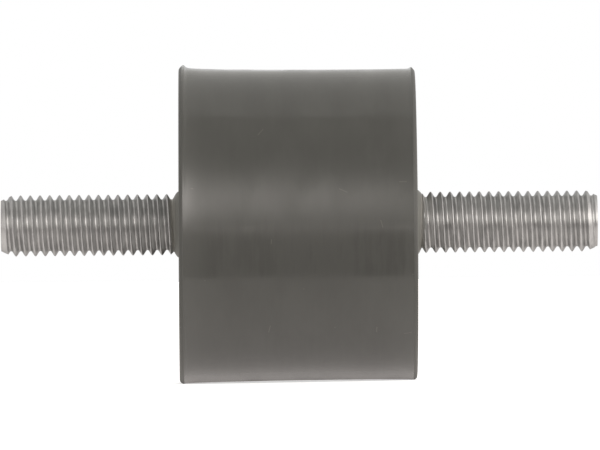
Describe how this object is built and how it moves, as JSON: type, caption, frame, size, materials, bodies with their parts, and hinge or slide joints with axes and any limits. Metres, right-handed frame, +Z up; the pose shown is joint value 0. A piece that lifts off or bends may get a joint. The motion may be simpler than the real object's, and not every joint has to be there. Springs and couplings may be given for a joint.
{
  "type": "bobbin vibration mount",
  "caption": "Cylindrical rubber vibration mount with a threaded steel stud bonded into each end.",
  "frame": {"origin": "middle of the mount, on its axis, halfway between the tips of the studs", "axes": "+X along the axis of the mount towards the right-hand stud, +Z up with the mount lying on its side"},
  "size_m": [0.0764, 0.0408, 0.0408],
  "materials": {
    "rubber": "satin",
    "zinc_plated_steel": "satin"
  },
  "bodies": {
    "root": {"rubber_body": "rubber", "left_end_plate": "zinc_plated_steel", "right_end_plate": "zinc_plated_steel", "left_stud": "zinc_plated_steel", "right_stud": "zinc_plated_steel"}
  },
  "joints": []
}
